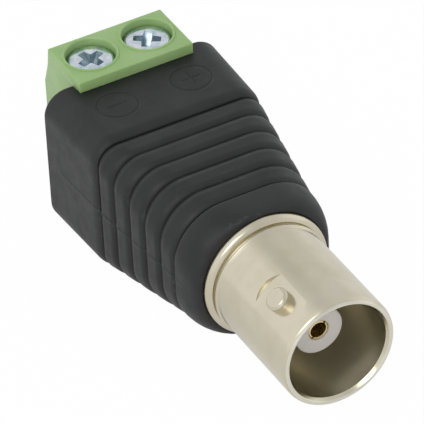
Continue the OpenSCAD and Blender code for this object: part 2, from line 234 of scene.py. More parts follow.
def combine(made: bpy.types.Object, others: list[bpy.types.Object], operation: str) -> None:
    """Cuts other solids out of an object, or joins them to it, and removes them.

    Args:
        made: The object that changes.
        others: The solids that are used up.
        operation: DIFFERENCE or UNION.
    """
    for other in others:
        step = made.modifiers.new("combine", "BOOLEAN")
        step.operation = operation
        step.solver = "EXACT"
        step.object = other
        settle(made)
        bpy.data.objects.remove(other)


def ease_edges(made: bpy.types.Object, width: float, segments: int = 2, angle: float = 40) -> None:
    """Rounds the edges of a solid.

    Args:
        made: The object that changes.
        width: The rounding's width in millimetres.
        segments: Steps across the rounding.
        angle: Only edges sharper than this many degrees are rounded.
    """
    step = made.modifiers.new("ease", "BEVEL")
    step.width = width * MM
    step.segments = segments
    step.limit_method = "ANGLE"
    step.angle_limit = math.radians(angle)
    step.use_clamp_overlap = True
    step.miter_outer = "MITER_ARC"
    settle(made)


def shade(made: bpy.types.Object, edges: Edges) -> None:
    """Shades a mesh smoothly, with crisp edges above the given angle."""
    mesh = made.data
    mesh.polygons.foreach_set("use_smooth", [True] * len(mesh.polygons))
    mesh.set_sharp_from_angle(angle=math.radians(edges.value))
    mesh.update()


def blend(low: float, high: float, t: float) -> float:
    """Goes from low to high as t goes from 0 to 1."""
    return low + (high - low) * t


def smooth_step(low: float, high: float, value: float) -> float:
    """Rises smoothly from 0 at low to 1 at high."""
    t = min(1.0, max(0.0, (value - low) / (high - low)))
    return t * t * (3 - 2 * t)


# Finishes


class Graph:
    """A material's nodes, laid down one at a time."""

    def __init__(self, name: str) -> None:
        """Starts a material with an empty shader."""
        self.material = bpy.data.materials.new(name)
        self.material.use_nodes = True
        self.tree = self.material.node_tree
        self.tree.nodes.clear()
        output = self.tree.nodes.new("ShaderNodeOutputMaterial")
        self.shader = self.tree.nodes.new("ShaderNodeBsdfPrincipled")
        self.tree.links.new(self.shader.outputs["BSDF"], output.inputs["Surface"])
        coordinates = self.tree.nodes.new("ShaderNodeTexCoord")
        scale = self.tree.nodes.new("ShaderNodeMapping")
        scale.inputs["Scale"].default_value = (1 / MM, 1 / MM, 1 / MM)
        self.tree.links.new(coordinates.outputs["Object"], scale.inputs["Vector"])
        self.place = scale.outputs["Vector"]

    def feed(self, socket: bpy.types.NodeSocket, value: object) -> None:
        """Links a socket to another, or sets its value.

        Args:
            socket: The input that is fed.
            value: An output socket, a number or a colour.
        """
        if isinstance(value, bpy.types.NodeSocket):
            self.tree.links.new(value, socket)
        else:
            socket.default_value = value

    def stretch(self, scale: Spot, turn: Spot = (0, 0, 0)) -> bpy.types.NodeSocket:
        """Gives the surface's place in millimetres, turned and then scaled along each axis."""
        node = self.tree.nodes.new("ShaderNodeMapping")
        self.feed(node.inputs["Vector"], self.place)
        node.inputs["Scale"].default_value = scale
        node.inputs["Rotation"].default_value = [math.radians(a) for a in turn]
        return node.outputs["Vector"]

    def noise(
        self, scale: float, detail: float = 3, rough: float = 0.55, place: object = None
    ) -> bpy.types.NodeSocket:
        """Makes cloudy noise.

        Args:
            scale: Features to the millimetre.
            detail: How many finer layers it has.
            rough: How strong the finer layers are.
            place: The coordinates, or None for plain millimetres.

        Returns:
            The noise, from 0 to 1.
        """
        node = self.tree.nodes.new("ShaderNodeTexNoise")
        node.inputs["Scale"].default_value = scale
        node.inputs["Detail"].default_value = detail
        node.inputs["Roughness"].default_value = rough
        self.feed(node.inputs["Vector"], place or self.place)
        return node.outputs["Fac"]

    def cells(self, scale: float, place: object = None) -> bpy.types.NodeSocket:
        """Makes cell noise: the distance to the nearest of scattered points."""
        node = self.tree.nodes.new("ShaderNodeTexVoronoi")
        node.inputs["Scale"].default_value = scale
        self.feed(node.inputs["Vector"], place or self.place)
        return node.outputs["Distance"]

    def fit(
        self, value: object, low: float, high: float, to_low: float = 0, to_high: float = 1
    ) -> bpy.types.NodeSocket:
        """Maps a value from one range to another, clamped at both ends."""
        node = self.tree.nodes.new("ShaderNodeMapRange")
        node.inputs["From Min"].default_value = low
        node.inputs["From Max"].default_value = high
        node.inputs["To Min"].default_value = to_low
        node.inputs["To Max"].default_value = to_high
        self.feed(node.inputs["Value"], value)
        return node.outputs["Result"]

    def sum(self, operation: str, first: object, second: object) -> bpy.types.NodeSocket:
        """Works out one step of arithmetic, such as ADD or MULTIPLY."""
        node = self.tree.nodes.new("ShaderNodeMath")
        node.operation = operation
        self.feed(node.inputs[0], first)
        self.feed(node.inputs[1], second)
        return node.outputs["Value"]

    def mix(self, share: object, first: object, second: object) -> bpy.types.NodeSocket:
        """Mixes two colours.

        Args:
            share: How much of the second colour shows, from 0 to 1.
            first: A colour or a socket.
            second: A colour or a socket.

        Returns:
            The mixed colour.
        """
        node = self.tree.nodes.new("ShaderNodeMix")
        node.data_type = "RGBA"
        self.feed(node.inputs[0], share)
        self.feed(node.inputs[6], first)
        self.feed(node.inputs[7], second)
        return node.outputs[2]

    def bump(self, layers: list[tuple[bpy.types.NodeSocket, float]]) -> None:
        """Adds relief to the shader.

        Args:
            layers: Heights from 0 to 1, each with its real depth in millimetres.
        """
        normal = None
        for height, depth in layers:
            node = self.tree.nodes.new("ShaderNodeBump")
            node.inputs["Distance"].default_value = depth * MM
            node.inputs["Strength"].default_value = 1.0
            self.feed(node.inputs["Height"], height)
            if normal is not None:
                self.feed(node.inputs["Normal"], normal)
            normal = node.outputs["Normal"]
        self.feed(self.shader.inputs["Normal"], normal)

    def edge(self, low: float, high: float) -> bpy.types.NodeSocket:
        """Finds convex edges, from 0 on flats to 1 on edges."""
        node = self.tree.nodes.new("ShaderNodeNewGeometry")
        return self.fit(node.outputs["Pointiness"], low, high)


def colour(red: float, green: float, blue: float) -> tuple[float, float, float, float]:
    """Gives a shader colour from linear red, green and blue."""
    return (red, green, blue, 1.0)


@dataclass(frozen=True)
class MouldedBlack:
    """Matt black moulding with a fine spark grain and light scuffs, paler convex edges that are partly rubbed wear
    and partly painted highlight, and painted shade darkening its creases and groove valleys.
    """

    name: str = "moulded_black"
    deep: Spot = (0.0095, 0.01, 0.01)
    pale: Spot = (0.0135, 0.0143, 0.0143)
    # Painted shade: the colour of the darkened creases and groove valleys.
    painted_crease_shade: Spot = (0.003, 0.003, 0.003)
    # Paler convex edges: partly rubbed wear, partly painted highlight along the ridges.
    rub_and_highlight: Spot = (0.07, 0.071, 0.073)
    grain_per_mm: float = 9.0
    grain_depth: float = 0.0035

    def material(self) -> bpy.types.Material:
        """Builds the finish's shader."""
        graph = Graph(self.name)
        cloud = graph.noise(0.35, 4)
        base = graph.mix(graph.fit(cloud, 0.35, 0.65), colour(*self.deep), colour(*self.pale))
        scuff_lines = graph.noise(1.0, 5, 0.7, graph.stretch((0.25, 5.0, 2.5), (0, 0, 24)))
        patches = graph.fit(graph.noise(0.22, 2), 0.5, 0.66)
        scuffs = graph.sum("MULTIPLY", graph.fit(scuff_lines, 0.6, 0.72), patches)
        nicks = graph.fit(graph.noise(2.4, 4, 0.7), 0.44, 0.7)
        # Paler convex edges with nicks: partly rubbed wear, partly painted highlight along the ridges.
        rub_and_highlight = graph.sum("MULTIPLY", graph.edge(0.512, 0.56), nicks)
        wear_and_highlight = graph.sum("ADD", graph.sum("MULTIPLY", scuffs, 0.35), graph.sum("MULTIPLY", rub_and_highlight, 0.6))
        worn_and_highlit = graph.mix(wear_and_highlight, base, colour(*self.rub_and_highlight))
        # Painted shade: concave creases and groove valleys are darkened nearly to black and made rougher.
        painted_crease_shade = graph.edge(0.492, 0.45)
        graph.feed(graph.shader.inputs["Base Color"], graph.mix(painted_crease_shade, worn_and_highlit, colour(*self.painted_crease_shade)))
        gloss = graph.fit(graph.noise(0.8, 5, 0.6), 0.3, 0.7, 0.43, 0.55)
        rough = graph.sum("ADD", gloss, graph.sum("MULTIPLY", painted_crease_shade, 0.35))
        graph.feed(graph.shader.inputs["Roughness"], rough)
        graph.shader.inputs["Specular IOR Level"].default_value = 0.42
        grain = graph.noise(self.grain_per_mm, 3, 0.6)
        waviness = graph.noise(0.5, 2)
        graph.bump([(waviness, 0.02), (grain, self.grain_depth), (scuffs, 0.004)])
        return graph.material


@dataclass(frozen=True)
class PlatedMetal:
    """Plated metal with faint tarnish clouds, fine tool lines and small marks, and painted shade in its concave
    creases where a crease colour is given.
    """

    name: str
    bright: Spot
    dull: Spot
    roughness: float
    line_scale: Spot = (1.5, 26.0, 1.5)
    line_depth: float = 0.0006
    cloud_scale: float = 0.3
    cloud_share: float = 0.45
    handling: float = 0.06
    peel_depth: float = 0.006
    # Painted shade in concave creases, or None for none.
    painted_crease_shade: Spot | None = None

    def material(self) -> bpy.types.Material:
        """Builds the finish's shader."""
        graph = Graph(self.name)
        cloud = graph.fit(graph.noise(self.cloud_scale, 4, 0.6), 0.38, 0.66, 0, self.cloud_share)
        specks = graph.fit(graph.noise(5.5, 3, 0.7), 0.68, 0.8, 0, 0.35)
        stain = graph.sum("MAXIMUM", cloud, specks)
        plate = graph.mix(stain, colour(*self.bright), colour(*self.dull))
        # Painted shade: concave creases are darkened towards the given colour.
        if self.painted_crease_shade is not None:
            plate = graph.mix(graph.edge(0.497, 0.44), plate, colour(*self.painted_crease_shade))
        graph.feed(graph.shader.inputs["Base Color"], plate)
        graph.shader.inputs["Metallic"].default_value = 1.0
        smear = graph.noise(0.9, 5, 0.62)
        graph.feed(
            graph.shader.inputs["Roughness"],
            graph.fit(smear, 0.3, 0.72, self.roughness, self.roughness + self.handling),
        )
        lines = graph.noise(1.0, 2, 0.5, graph.stretch(self.line_scale))
        peel = graph.noise(0.7, 2)
        graph.bump([(peel, self.peel_depth), (lines, self.line_depth)])
        return graph.material


@dataclass(frozen=True)
class SatinPlastic:
    """Satin moulding that lets a little light in, with faint flow clouds and a fine grain."""

    name: str
    body: Spot
    cloud: Spot
    roughness: float = 0.36
    light_in: float = 0.12
    reach: Spot = (0.5, 0.8, 0.35)
    grain_per_mm: float = 6.0
    grain_depth: float = 0.002

    def material(self) -> bpy.types.Material:
        """Builds the finish's shader."""
        graph = Graph(self.name)
        flow = graph.fit(graph.noise(0.3, 4, 0.6), 0.36, 0.66)
        graph.feed(
            graph.shader.inputs["Base Color"],
            graph.mix(flow, colour(*self.body), colour(*self.cloud)),
        )
        gloss = graph.noise(0.9, 4)
        graph.feed(
            graph.shader.inputs["Roughness"],
            graph.fit(gloss, 0.3, 0.7, self.roughness, self.roughness + 0.12),
        )
        graph.shader.inputs["Subsurface Weight"].default_value = self.light_in
        graph.shader.inputs["Subsurface Radius"].default_value = [r * MM for r in self.reach]
        graph.shader.inputs["Subsurface Scale"].default_value = 1.0
        graph.bump([(graph.noise(0.6, 2), 0.012), (graph.noise(self.grain_per_mm, 3), self.grain_depth)])
        return graph.material


NICKEL = PlatedMetal("warm_nickel_plate", (0.66, 0.615, 0.49), (0.56, 0.505, 0.37), 0.16)
# The socket's plate: rougher, and painted darker and less yellow as shade inside the socket.
BORE_PLATE_WITH_PAINTED_SHADE = PlatedMetal("dull_bore_plate_painted_shade", (0.6, 0.565, 0.45), (0.52, 0.485, 0.37), 0.3, line_depth=0.0003)
# Painted highlight: the mouth's rim gets a paler, smoother plate that stands for its bright edge.
PAINTED_RIM_HIGHLIGHT = PlatedMetal("rim_plate_painted_highlight", (0.76, 0.73, 0.63), (0.66, 0.62, 0.51), 0.12)
# Blue zinc plate, with painted shade darkening its concave creases.
ZINC = PlatedMetal(
    "blue_zinc_plate", (0.8, 0.84, 0.88), (0.42, 0.54, 0.66), 0.1, cloud_scale=1.1, cloud_share=0.8,
    line_scale=(5.0, 5.0, 5.0), line_depth=0.004, peel_depth=0.05, painted_crease_shade=(0.1, 0.17, 0.2),
)
# Painted shade: the walls and floor of each screw's cross are dark blue-green, and its clouds are painted shade too.
PAINTED_RECESS_SHADE = PlatedMetal(
    "shaded_recess_plate", (0.5, 0.59, 0.65), (0.14, 0.21, 0.24), 0.2, cloud_scale=1.4, cloud_share=0.8,
    peel_depth=0.03,
)
TIN = PlatedMetal("tin_plate", (0.68, 0.69, 0.7), (0.5, 0.51, 0.53), 0.34, line_depth=0.001)
GOLD = PlatedMetal("gold_plate", (0.88, 0.72, 0.38), (0.7, 0.54, 0.26), 0.24)
BLACK = MouldedBlack()
GREEN = SatinPlastic("terminal_green", (0.285, 0.45, 0.17), (0.33, 0.49, 0.21))
WHITE = SatinPlastic(
    "insulator_white", (0.7, 0.67, 0.64), (0.78, 0.745, 0.71), 0.4, 0.2, (0.9, 0.8, 0.9)
)
RED = SatinPlastic("shrink_tube", (0.32, 0.03, 0.025), (0.4, 0.05, 0.04), 0.42, 0.0)


class Wardrobe:
    """Keeps one material for each finish."""

    def __init__(self) -> None:
        """Starts empty."""
        self.made: dict[str, bpy.types.Material] = {}

    def dress(self, piece: bpy.types.Object, finish: MouldedBlack | PlatedMetal | SatinPlastic) -> None:
        """Gives a piece its finish, in place of any it has.

        Args:
            piece: The object that is dressed.
            finish: The finish, whose material is built the first time it is asked for.
        """
        if finish.name not in self.made:
            self.made[finish.name] = finish.material()
        piece.data.materials.clear()
        piece.data.materials.append(self.made[finish.name])

    def part_finish(
        self, piece: bpy.types.Object, finish: PlatedMetal, lies_there: Callable[[Vector], bool]
    ) -> None:
        """Gives part of a dressed piece a finish of its own.

        Args:
            piece: The object, already dressed.
            finish: The finish of the part.
            lies_there: Tells from a face's middle, in millimetres, whether it is of that part.
        """
        if finish.name not in self.made:
            self.made[finish.name] = finish.material()
        piece.data.materials.append(self.made[finish.name])
        slot = len(piece.data.materials) - 1
        for face in piece.data.polygons:
            if lies_there(face.center / MM):
                face.material_index = slot


def hand_over(
    piece: bpy.types.Object, body: str, nodes: list[str]
) -> bpy.types.Object:
    """Puts a finished piece on its body, in place of the plain solids that it stands for.

    Args:
        piece: The finished piece.
        body: The body that it rides on.
        nodes: The plain solids that it replaces.

    Returns:
        The piece.
    """
    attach(piece, body)
    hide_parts(*nodes)
    log.info("%s rides on %s and replaces %s", piece.name, body, ", ".join(nodes))
    return piece


# The moulded body


@dataclass
class MouldedBody:
    """The black body: a rounded square behind, five ribs, and a round collar in front."""

    wardrobe: Wardrobe
    rear_w: float = 15.6
    plain_w: float = 15.0
    height: float = 12.6
    rear_y: float = 33.0
    front_y: float = 11.6
    lift: float = 0.25
    corner_r: float = 2.1
    shoulder_l: float = 0.95
    rim_r: float = 5.54
    rim_flat: float = 0.01
    first_groove_y: float = 24.89
    rib_pitch: float = 2.065
    rib_count: int = 5
    groove_depth: float = 0.29
    rear_slope: float = 0.36
    rear_curve: float = 1.6
    front_slope: float = 0.26
    front_curve: float = 2.4
    notch_depth: float = 0.05
    notch_half: float = 0.1
    rib_w: float = 14.9
    rib_h: float = 12.23
    rib_corner_r: float = 1.9
    rib_lift: float = 0.2
    collar_w: float = 12.7
    collar_h: float = 11.36
    collar_corner_r: float = 4.4
    collar_lift: float = 0.13
    collar_rise: float = 0.3
    height_curve: float = 2.5
    corner_curve: float = 0.74
    rear_round: float = 0.25
    flange_recess_r: float = 5.43
    flange_seat_y: float = 12.3
    neck_r: float = 4.6
    half_hollow: float = 5.13
    hollow_foot: float = -4.2
    hollow_top: float = 5.3
    block_foot: float = -2.45
    pocket_y: float = 31.15
    step_y: float = 32.2
    mark_x: float = 3.3
    mark_y: float = 28.8
    mark_r: float = 1.75
    mark_line: float = 0.18
    mark_arm: float = 0.85
    mark_depth: float = 0.045
    seam_height: float = 0.08
    seam_half: float = 0.09

    @property
    def last_groove_y(self) -> float:
        """Y of the groove behind the collar."""
        return self.first_groove_y - self.rib_count * self.rib_pitch

    def plain_section(self, y: float, inset: float) -> Section:
        """Gives the section at a place behind the ribs.

        Args:
            y: The place.
            inset: How far the surface lies under the plain side.

        Returns:
            The place, half width, half height, corner radius and middle height.
        """
        t = (y - self.first_groove_y) / (self.rear_y - self.first_groove_y)
        width = blend(self.plain_w, self.rear_w, t)
        return y, width / 2 - inset, self.height / 2 - inset, self.corner_r - inset, self.lift

    def rib_section(self, y: float, inset: float) -> Section:
        """Gives the section at a place in the ribs or the collar.

        Args:
            y: The place.
            inset: How far the surface lies under the ribs' backs.

        Returns:
            The place, half width, half height, corner radius and middle height.
        """
        t = (self.first_groove_y - y) / (self.first_groove_y - self.last_groove_y)
        t = min(1.0, max(0.0, t))
        width = blend(self.rib_w, self.collar_w, t)
        height = blend(self.rib_h, self.collar_h, t**self.height_curve)
        radius = blend(self.rib_corner_r, self.collar_corner_r, t**self.corner_curve)
        lift = blend(self.rib_lift, self.collar_lift, t)
        return y, width / 2 - inset, height / 2 - inset, radius - inset, lift

    def rib_dip(self, t: float) -> float:
        """Gives how far a rib's surface lies under its back, from 0 at its rear groove to 1."""
        rear = max(0.0, 1 - t / self.rear_slope) ** self.rear_curve
        front = max(0.0, 1 - (1 - t) / self.front_slope) ** self.front_curve
        return self.groove_depth * (rear + front)

    def notch(self, distance: float) -> float:
        """Gives the extra depth of the sharp line in a groove, by the distance from its middle."""
        return self.notch_depth * (1 - smooth_step(0.0, self.notch_half, distance))

    def rolls(self, start: Section, end: Section, steps: int) -> list[Section]:
        """Rolls one section over into another along a quarter of an ellipse.

        Args:
            start: The section that the roll leaves smoothly.
            end: The section that it meets edge on.
            steps: How many sections it takes.

        Returns:
            The sections, without the last.
        """
        made = []
        for step in range(steps):
            angle = math.radians(90 * step / steps)
            t = 1 - math.cos(angle)
            sizes = [blend(a, b, t) for a, b in zip(start[1:], end[1:])]
            made.append((blend(start[0], end[0], math.sin(angle)), *sizes))
        return made

    def sections(self) -> list[Section]:
        """Lists the sections from the rear end to the front rim."""
        made = []
        round_steps = 6
        for step in range(round_steps + 1):
            angle = math.radians(90 * step / round_steps)
            made.append(
                self.plain_section(
                    self.rear_y - self.rear_round * (1 - math.cos(angle)),
                    self.rear_round * (1 - math.sin(angle)),
                )
            )
        shoulder_y = self.first_groove_y + self.shoulder_l
        plain_steps = 90
        for step in range(1, plain_steps):
            y = blend(self.rear_y - self.rear_round, shoulder_y, step / plain_steps)
            made.append(self.plain_section(y, 0.0))
        groove = self.rib_section(self.first_groove_y, self.groove_depth)
        made += self.rolls(self.plain_section(shoulder_y, 0.0), groove, 12)
        rib_steps = 28
        for rib in range(self.rib_count):
            for step in range(rib_steps):
                t = (1 - math.cos(math.pi * step / rib_steps)) / 2
                inset = self.rib_dip(t) + self.notch(self.rib_pitch * min(t, 1 - t))
                made.append(self.rib_section(self.first_groove_y - self.rib_pitch * (rib + t), inset))
        rise_steps = 12
        for step in range(rise_steps):
            t = step / rise_steps
            inset = self.groove_depth * (1 - t) ** self.rear_curve
            inset += self.notch(self.collar_rise * t)
            made.append(self.rib_section(self.last_groove_y - self.collar_rise * t, inset))
        peak = self.rib_section(self.last_groove_y - self.collar_rise, 0.0)
        rim = (self.front_y, self.rim_r, self.rim_r, self.rim_r - self.rim_flat, 0.0)
        made += self.rolls(peak, rim, 18)
        made.append(rim)
        return made

    def mark_sink(self, x: float, y: float) -> float:
        """Gives how far the polarity marks sink the top at a place."""
        deepest = 0.0
        edge = 0.05
        half = self.mark_line / 2
        for mark in Mark:
            dx = x - mark.value * self.mark_x
            dy = y - self.mark_y
            ring = abs(math.hypot(dx, dy) - self.mark_r + half)
            lines = [ring]
            lines.append(max(abs(dy), abs(dx) - self.mark_arm + half))
            if mark is Mark.PLUS:
                lines.append(max(abs(dx), abs(dy) - self.mark_arm + half))
            near = min(lines)
            deepest = max(deepest, 1 - smooth_step(half - edge, half + edge, near))
        return deepest * self.mark_depth

    def ring(self, section: Section) -> list[Spot]:
        """Gives the points round one section, counter-clockwise from the right.

        Args:
            section: The section.

        Returns:
            The same number of points for every section.
        """
        y, half_w, half_h, radius, middle = section
        flat_w, flat_h = half_w - radius, half_h - radius
        arc_steps = 14
        side_stops = (0.0, 0.14, 0.28, 0.38, 0.44, 0.465, 0.48, 0.49, 0.5)
        side_stops += tuple(1 - s for s in reversed(side_stops[:-1]))
        top_steps = 170
        points: list[Spot] = []

        def corner(sign_x: int, sign_z: int, start: float) -> None:
            """Adds a corner's arc."""
            for step in range(arc_steps):
                angle = math.radians(start + 90 * step / arc_steps)
                points.append(
                    (
                        sign_x * flat_w + radius * math.cos(angle),
                        y,
                        middle + sign_z * flat_h + radius * math.sin(angle),
                    )
                )

        corner(1, 1, 0)
        for step in range(top_steps):
            x = blend(flat_w, -flat_w, step / top_steps)
            points.append((x, y, middle + half_h - self.mark_sink(x, y)))
        corner(-1, 1, 90)
        for stop in side_stops[:-1]:
            z = blend(flat_h, -flat_h, stop)
            points.append((-half_w - self.seam(-1, y, z), y, middle + z))
        corner(-1, -1, 180)
        for step in range(24):
            points.append((blend(-flat_w, flat_w, step / 24), y, middle - half_h))
        corner(1, -1, 270)
        for stop in side_stops[:-1]:
            z = blend(-flat_h, flat_h, stop)
            points.append((half_w + self.seam(1, y, z), y, middle + z))
        return points

    def seam(self, side: int, y: float, z: float) -> float:
        """Gives the height of the mould's seam line on a side, rougher over the first grooves."""
        rough = noise.noise(Vector((side * 9.0, y * 1.7, 3.0)))
        near_grooves = smooth_step(2.6, 0.4, abs(y - self.first_groove_y + 1.0))
        height = self.seam_height * (0.35 + 0.5 * abs(rough) + 1.1 * near_grooves * abs(rough))
        fade = smooth_step(self.front_y + 1.0, self.front_y + 3.0, y)
        fade *= 1 - smooth_step(self.rear_y - 2.4, self.rear_y - 1.6, y)
        return height * fade * (1 - smooth_step(0.0, self.seam_half * 2.2, abs(z)))

    def shell(self) -> bpy.types.Object:
        """Lofts the outside and cuts the hollows.

        Returns:
            The body, closed and ready for its finish.
        """
        rings = [self.ring(s) for s in self.sections()]
        count = len(rings[0])
        points = [p for ring in rings for p in ring]
        faces = []
        for index in range(len(rings) - 1):
            for step in range(count):
                after = (step + 1) % count
                faces.append(
                    [
                        index * count + step,
                        index * count + after,
                        (index + 1) * count + after,
                        (index + 1) * count + step,
                    ]
                )
        faces.append(list(range(count)))
        faces.append(list(range((len(rings) - 1) * count, len(rings) * count)))
        body = link_mesh("moulded_body", points, faces)
        half, rear = self.half_hollow, self.rear_y + 1
        seat = self.flange_seat_y
        recess = [(0, self.front_y - 1), (self.flange_recess_r, self.front_y - 1)]
        recess += [(self.flange_recess_r, seat), (self.neck_r, seat), (self.neck_r, 22), (0, 22)]
        cutters = [
            turned("cut_front", recess),
            block("cut_hollow", (-half, 20, self.hollow_foot), (half, self.pocket_y, self.hollow_top)),
            block("cut_pocket", (-half, self.pocket_y - 0.5, self.block_foot), (half, rear, self.hollow_top)),
            block("cut_step", (-half, self.step_y, 0), (half, rear, self.height)),
        ]
        combine(body, cutters, "DIFFERENCE")
        shade(body, Edges.MOULDED)
        return body

    def build(self) -> list[bpy.types.Object]:
        """Builds and dresses the body."""
        body = self.shell()
        self.wardrobe.dress(body, BLACK)
        return [hand_over(body, FIXED_BODY, ["body_shell"])]


# The jack


@dataclass
class Jack:
    """The plated jack with its bayonet pins, insulators and slotted contact."""

    wardrobe: Wardrobe
    barrel_r: float = 4.83
    socket_r: float = 4.15
    socket_depth: float = 6.9
    mouth_lead_r: float = 4.36
    mouth_lead_y: float = 0.35
    mouth_bevel: float = 0.3
    rim_round: float = 0.12
    bead_y: float = 10.25
    bead_r: float = 4.97
    bead_w: float = 0.38
    relief_r: float = 4.72
    flange_r: float = 5.39
    flange_front_y: float = 10.88
    flange_seat_y: float = 12.3
    neck_r: float = 4.6
    neck_rear_y: float = 17.5
    bush_r: float = 3.4
    bush_seat_y: float = 15.5
    insulator_r: float = 2.7
    insulator_seat_y: float = 9.5
    insulator_neck_r: float = 2.3
    nose_r: float = 2.05
    nose_front_y: float = 3.2
    pin_y: float = 3.75
    pin_angle: float = 38.0
    pin_r: float = 0.95
    pin_foot_r: float = 4.3
    pin_tip_r: float = 5.45
    spot_face_r: float = 2.42
    spot_face_at: float = 4.62
    contact_r: float = 0.88
    contact_hole_r: float = 0.68
    contact_front_y: float = 3.3
    contact_hole_depth: float = 5.5
    contact_collar_y: float = 12.5
    contact_collar_r: float = 1.25
    contact_tail_r: float = 0.6
    contact_tail_y: float = 20.4
    slot_w: float = 0.2
    slot_l: float = 3.4
    slot_turn: float = 45.0

    def at_pin(self, turn: float) -> Matrix:
        """Gives the frame of a bayonet pin: its Y axis points outwards from the jack's axis.

        Args:
            turn: 0 for the upper pin, or 180 for the lower.

        Returns:
            The frame, in metres.
        """
        lean = Matrix.Rotation(-math.radians(self.pin_angle + turn), 4, "Y")
        stand = Matrix.Rotation(math.pi / 2, 4, "X")
        return Matrix.Translation((0, self.pin_y * MM, 0)) @ lean @ stand

    def shell(self) -> bpy.types.Object:
        """Turns the jack and cuts its spot faces and pin holes."""
        bead_end = self.bead_y + self.bead_w
        profile = soft_corners(
            [
                (self.mouth_lead_r, 0.05, 0.04),
                (self.mouth_lead_r + 0.08, 0.0, 0.06),
                (self.barrel_r - self.mouth_bevel, 0.0, 0.12),
                (self.barrel_r - 0.07, 0.18, 0.12),
                (self.barrel_r, 0.45, 0.1),
                (self.barrel_r, self.bead_y, 0.03),
                (self.bead_r, self.bead_y + 0.1, 0.06),
                (self.bead_r, bead_end - 0.08, 0.06),
                (self.relief_r, bead_end, 0.03),
                (self.relief_r, self.flange_front_y, 0.03),
                (self.flange_r - 0.42, self.flange_front_y, 0.04),
                (self.flange_r - 0.12, self.flange_front_y + 0.12, 0.2),
                (self.flange_r, self.flange_front_y + 0.42, 0.2),
                (self.flange_r, self.flange_seat_y, 0.05),
                (self.neck_r, self.flange_seat_y, 0.0),
                (self.neck_r, self.neck_rear_y, 0.1),
                (self.bush_r, self.neck_rear_y, 0.05),
                (self.bush_r, self.bush_seat_y, 0.0),
                (self.insulator_r, self.bush_seat_y, 0.0),
                (self.insulator_r, self.insulator_seat_y, 0.0),
                (self.insulator_neck_r, self.insulator_seat_y, 0.0),
                (self.insulator_neck_r, self.socket_depth, 0.05),
                (self.socket_r, self.socket_depth, 0.15),
                (self.socket_r, self.mouth_lead_y, 0.05),
            ]
        )
        shell = turned("jack_body", profile, 256)
        cutters = []
        for turn in (0.0, 180.0):
            low, high = self.spot_face_at, self.barrel_r + 1
            face = [(0, low), (self.spot_face_r, low), (self.spot_face_r + 0.04, high), (0, high)]
            cutter = turned("cut_spot_face", face, 128)
            cutter.data.transform(self.at_pin(turn))
            hole = [(0, self.pin_foot_r), (self.pin_r, self.pin_foot_r), (self.pin_r, high), (0, high)]
            drill = turned("cut_pin_hole", hole, 64)
            drill.data.transform(self.at_pin(turn))
            cutters += [cutter, drill]
        combine(shell, cutters, "DIFFERENCE")
        shade(shell, Edges.TURNED)
        return shell

    def pin(self, name: str, turn: float) -> bpy.types.Object:
        """Turns one bayonet pin.

        Args:
            name: The piece's name.
            turn: 0 for the upper pin, or 180 for the lower.

        Returns:
            The pin in its place.
        """
        profile = soft_corners(
            [
                (0.0, self.pin_foot_r, 0.0),
                (self.pin_r, self.pin_foot_r, 0.0),
                (self.pin_r, self.pin_tip_r - 0.22, 0.08),
                (self.pin_r - 0.2, self.pin_tip_r, 0.08),
                (0.0, self.pin_tip_r, 0.0),
            ]
        )
        pin = turned(name, profile, 64)
        pin.data.transform(self.at_pin(turn))
        shade(pin, Edges.TURNED)
        return pin

    def contact(self) -> bpy.types.Object:
        """Turns the centre contact and slots its mouth."""
        front, collar = self.contact_front_y, self.contact_collar_y
        profile = soft_corners(
            [
                (self.contact_hole_r, front, 0.04),
                (self.contact_r - 0.12, front, 0.04),
                (self.contact_r, front + 0.12, 0.04),
                (self.contact_r, collar, 0.0),
                (self.contact_collar_r, collar, 0.0),
                (self.contact_collar_r, collar + 0.5, 0.0),
                (self.contact_tail_r, collar + 0.5, 0.0),
                (self.contact_tail_r, self.contact_tail_y, 0.1),
                (0.0, self.contact_tail_y, 0.0),
                (0.0, front + self.contact_hole_depth, 0.0),
                (self.contact_hole_r, front + self.contact_hole_depth, 0.0),
            ]
        )
        contact = turned("slotted_contact", profile, 64)
        half = self.slot_w / 2
        slot = block(
            "cut_slot", (-half, front - 1, -self.nose_r), (half, front + self.slot_l, self.nose_r)
        )
        slot.data.transform(Matrix.Rotation(math.radians(self.slot_turn), 4, "Y"))
        combine(contact, [slot], "DIFFERENCE")
        shade(contact, Edges.TURNED)
        return contact

    def insulator(self) -> bpy.types.Object:
        """Turns the insulator's front half, with its nose in the socket."""
        profile = soft_corners(
            [
                (self.contact_r, self.nose_front_y, 0.08),
                (self.nose_r, self.nose_front_y, 0.12),
                (self.nose_r, self.socket_depth, 0.0),
                (self.insulator_neck_r, self.socket_depth, 0.0),
                (self.insulator_neck_r, self.insulator_seat_y, 0.0),
                (self.insulator_r, self.insulator_seat_y, 0.0),
                (self.insulator_r, self.contact_collar_y, 0.0),
                (self.contact_r, self.contact_collar_y, 0.0),
            ]
        )
        insulator = turned("insulator_nose", profile, 96)
        shade(insulator, Edges.TURNED)
        return insulator

    def in_bore(self, spot: Vector) -> bool:
        """Tells whether a place of the shell, in millimetres, is in the socket."""
        deep = self.mouth_lead_y < spot.y < self.socket_depth + 0.1
        return deep and math.hypot(spot.x, spot.z) < self.mouth_lead_r

    def on_rim(self, spot: Vector) -> bool:
        """Tells whether a place of the shell, in millimetres, is on the mouth's rim."""
        return spot.y < self.rim_round and math.hypot(spot.x, spot.z) > self.socket_r

    def build(self) -> list[bpy.types.Object]:
        """Builds and dresses the jack's pieces."""
        shell = self.shell()
        upper = self.pin("upper_bayonet_pin", 0.0)
        lower = self.pin("lower_bayonet_pin", 180.0)
        contact = self.contact()
        insulator = self.insulator()
        for piece in (shell, upper, lower):
            self.wardrobe.dress(piece, NICKEL)
        # Painted shade: the socket's wall is painted darker.
        self.wardrobe.part_finish(shell, BORE_PLATE_WITH_PAINTED_SHADE, self.in_bore)
